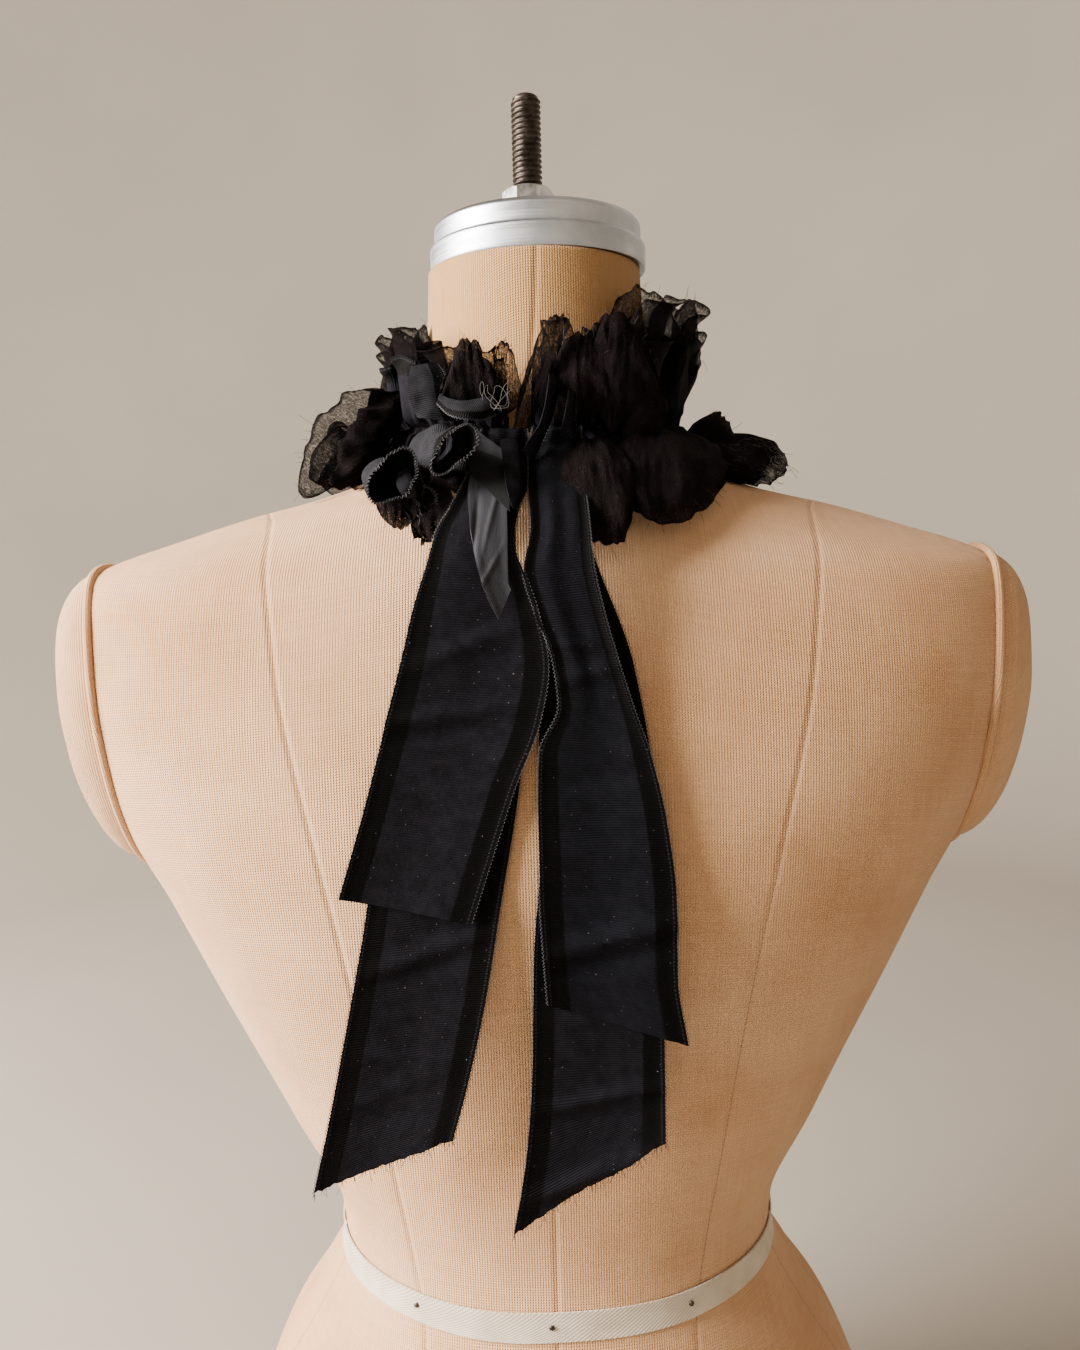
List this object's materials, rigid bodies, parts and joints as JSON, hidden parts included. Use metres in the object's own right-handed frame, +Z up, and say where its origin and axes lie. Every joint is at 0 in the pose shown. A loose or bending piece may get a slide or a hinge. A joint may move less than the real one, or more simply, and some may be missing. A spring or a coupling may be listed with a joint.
{
  "type": "ruffled mourning collar on a dress form",
  "caption": "Black ruched crape and ribbon collar, open at the centre back with hanging ribbon ends, on a limbless canvas dress form that stands on its flat base.",
  "frame": {"origin": "middle of the dress form's flat base", "axes": "+Z up along the form, +Y the way the form faces, so the collar's opening and ribbon ends are on the -Y side"},
  "size_m": [0.4418, 0.2669, 0.7645],
  "materials": {
    "canvas": "matt woven linen canvas",
    "cotton_tape": "matt twill tape",
    "aluminium": "brushed",
    "zinc_steel": "dull zinc plate",
    "dark_steel": "oiled, dark",
    "crape": "sheer crinkled silk",
    "ribbon": "matt ribbed ribbon with satin stripes",
    "lining": "matt plain silk"
  },
  "bodies": {
    "root": {"dress_form": "canvas", "shoulder_cap_left": "canvas", "shoulder_cap_right": "canvas", "waist_tape": "cotton_tape", "neck_cap": "aluminium", "neck_nut": "zinc_steel", "neck_stud": "dark_steel", "neck_band": "ribbon", "crape_frill_upper": "crape", "crape_frill_lower": "crape", "ribbon_frill_upper": "ribbon", "ribbon_frill_lower": "ribbon", "tail_left_upper": "ribbon", "tail_left_lower": "ribbon", "tail_right_upper": "ribbon", "tail_right_lower": "ribbon", "lining_tail": "lining"}
  },
  "joints": []
}
